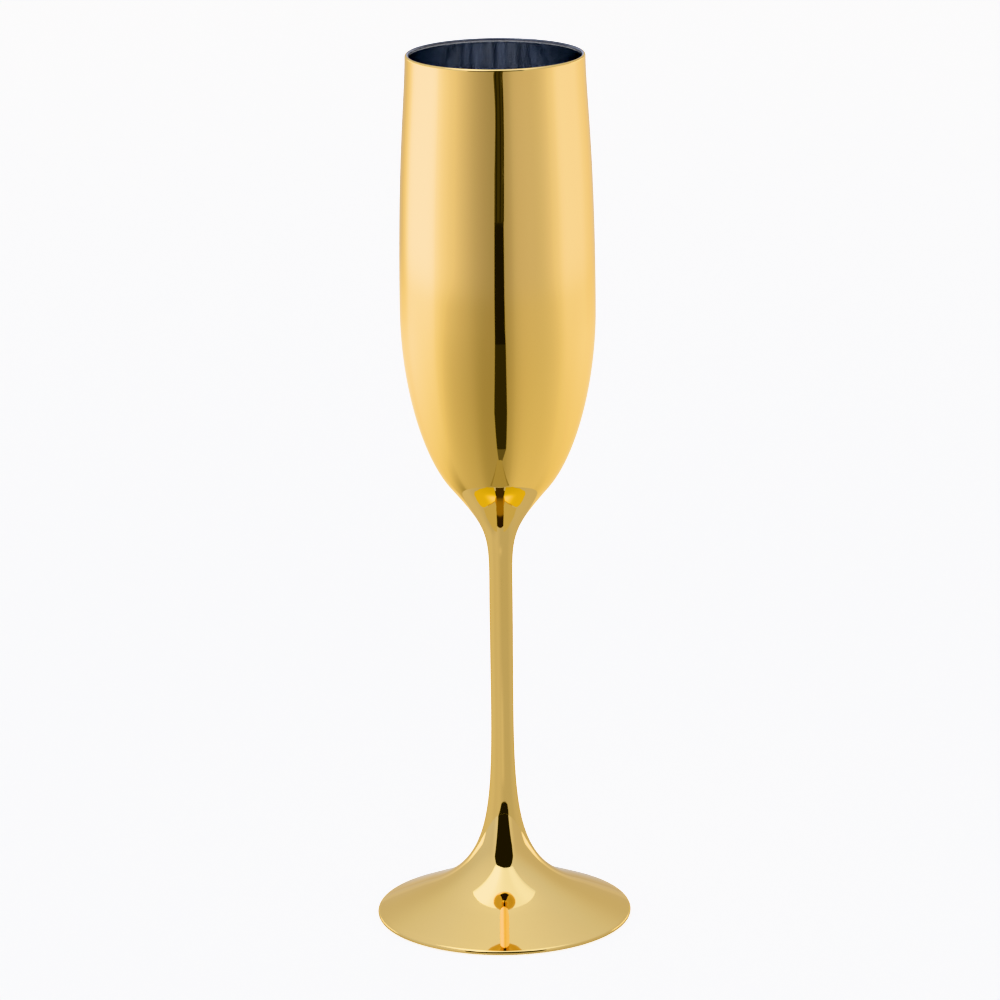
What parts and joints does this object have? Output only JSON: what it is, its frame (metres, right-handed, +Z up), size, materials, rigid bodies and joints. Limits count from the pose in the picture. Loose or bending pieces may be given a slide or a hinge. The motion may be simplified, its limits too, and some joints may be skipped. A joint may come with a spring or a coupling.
{
  "type": "champagne flute",
  "caption": "Tall stemmed champagne flute: a slim blown bowl fused to a drawn stem and a shallow conical foot, mirror gold outside and dark mirror inside.",
  "frame": {"origin": "on the table, at the middle of the foot", "axes": "+Z up along the stem; the glass is round, so +X and +Y are any two level directions"},
  "size_m": [0.0668, 0.0668, 0.23],
  "materials": {
    "mirror_backed_glass": "smooth clear glass over the back of a metal mirror layer, dark blue-grey",
    "clear_glass": "fire-polished clear glass",
    "gold_mirror": "mirror-bright metallised coat with a gold-tinted topcoat"
  },
  "bodies": {
    "root": {"bowl": "mirror_backed_glass", "stem": "clear_glass", "foot": "clear_glass", "gold_coat": "gold_mirror", "foot_coat": "gold_mirror"}
  },
  "joints": []
}
